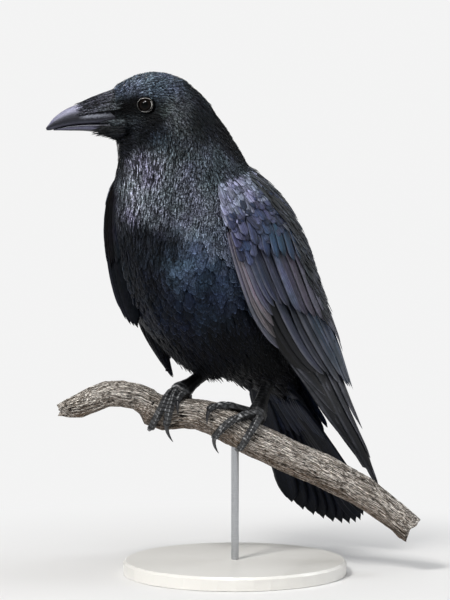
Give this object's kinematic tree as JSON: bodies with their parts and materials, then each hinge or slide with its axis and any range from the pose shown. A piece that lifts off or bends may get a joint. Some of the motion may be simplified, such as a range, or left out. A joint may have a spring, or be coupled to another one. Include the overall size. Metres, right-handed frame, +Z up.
{
  "type": "raven",
  "caption": "Life-size perched raven with folded wings and turned head, gripping a short broken branch on a plain disc stand.",
  "frame": {"origin": "centre of the stand base's underside, on the floor", "axes": "+X along the perch, to the right of somebody who faces the display; +Y away from them; +Z up. The bird's breast faces -X and -Y, 230 degrees round from +X, and its bill points along -X."},
  "size_m": [0.3909, 0.3372, 0.5267],
  "materials": {
    "plumage": "black feathers with a blue and violet gloss",
    "horn": "black horn, satin, greyer along the edges",
    "leg": "black scaly skin, satin",
    "eye": "wet, very dark brown",
    "bark": "weathered grey-brown bark, rough",
    "stand_enamel": "wood painted off-white, satin",
    "stand_steel": "satin steel"
  },
  "bodies": {
    "root": {"bill_lower": "horn", "bill_upper": "horn", "claw_hind_left": "horn", "claw_hind_right": "horn", "claw_inner_left": "horn", "claw_inner_right": "horn", "claw_middle_left": "horn", "claw_middle_right": "horn", "claw_outer_left": "horn", "claw_outer_right": "horn", "eye_left": "eye", "eye_right": "eye", "flank_tuft": "plumage", "head": "plumage", "mantle": "plumage", "neck": "plumage", "perch": "bark", "primaries_left": "plumage", "primaries_right": "plumage", "stand_base": "stand_enamel", "stand_rod": "stand_steel", "tail": "plumage", "tarsus_left": "leg", "tarsus_right": "leg", "thigh_left": "plumage", "thigh_right": "plumage", "toe_hind_left": "leg", "toe_hind_right": "leg", "toe_inner_left": "leg", "toe_inner_right": "leg", "toe_middle_left": "leg", "toe_middle_right": "leg", "toe_outer_left": "leg", "toe_outer_right": "leg", "trunk": "plumage", "wing_left": "plumage", "wing_right": "plumage"}
  },
  "joints": []
}
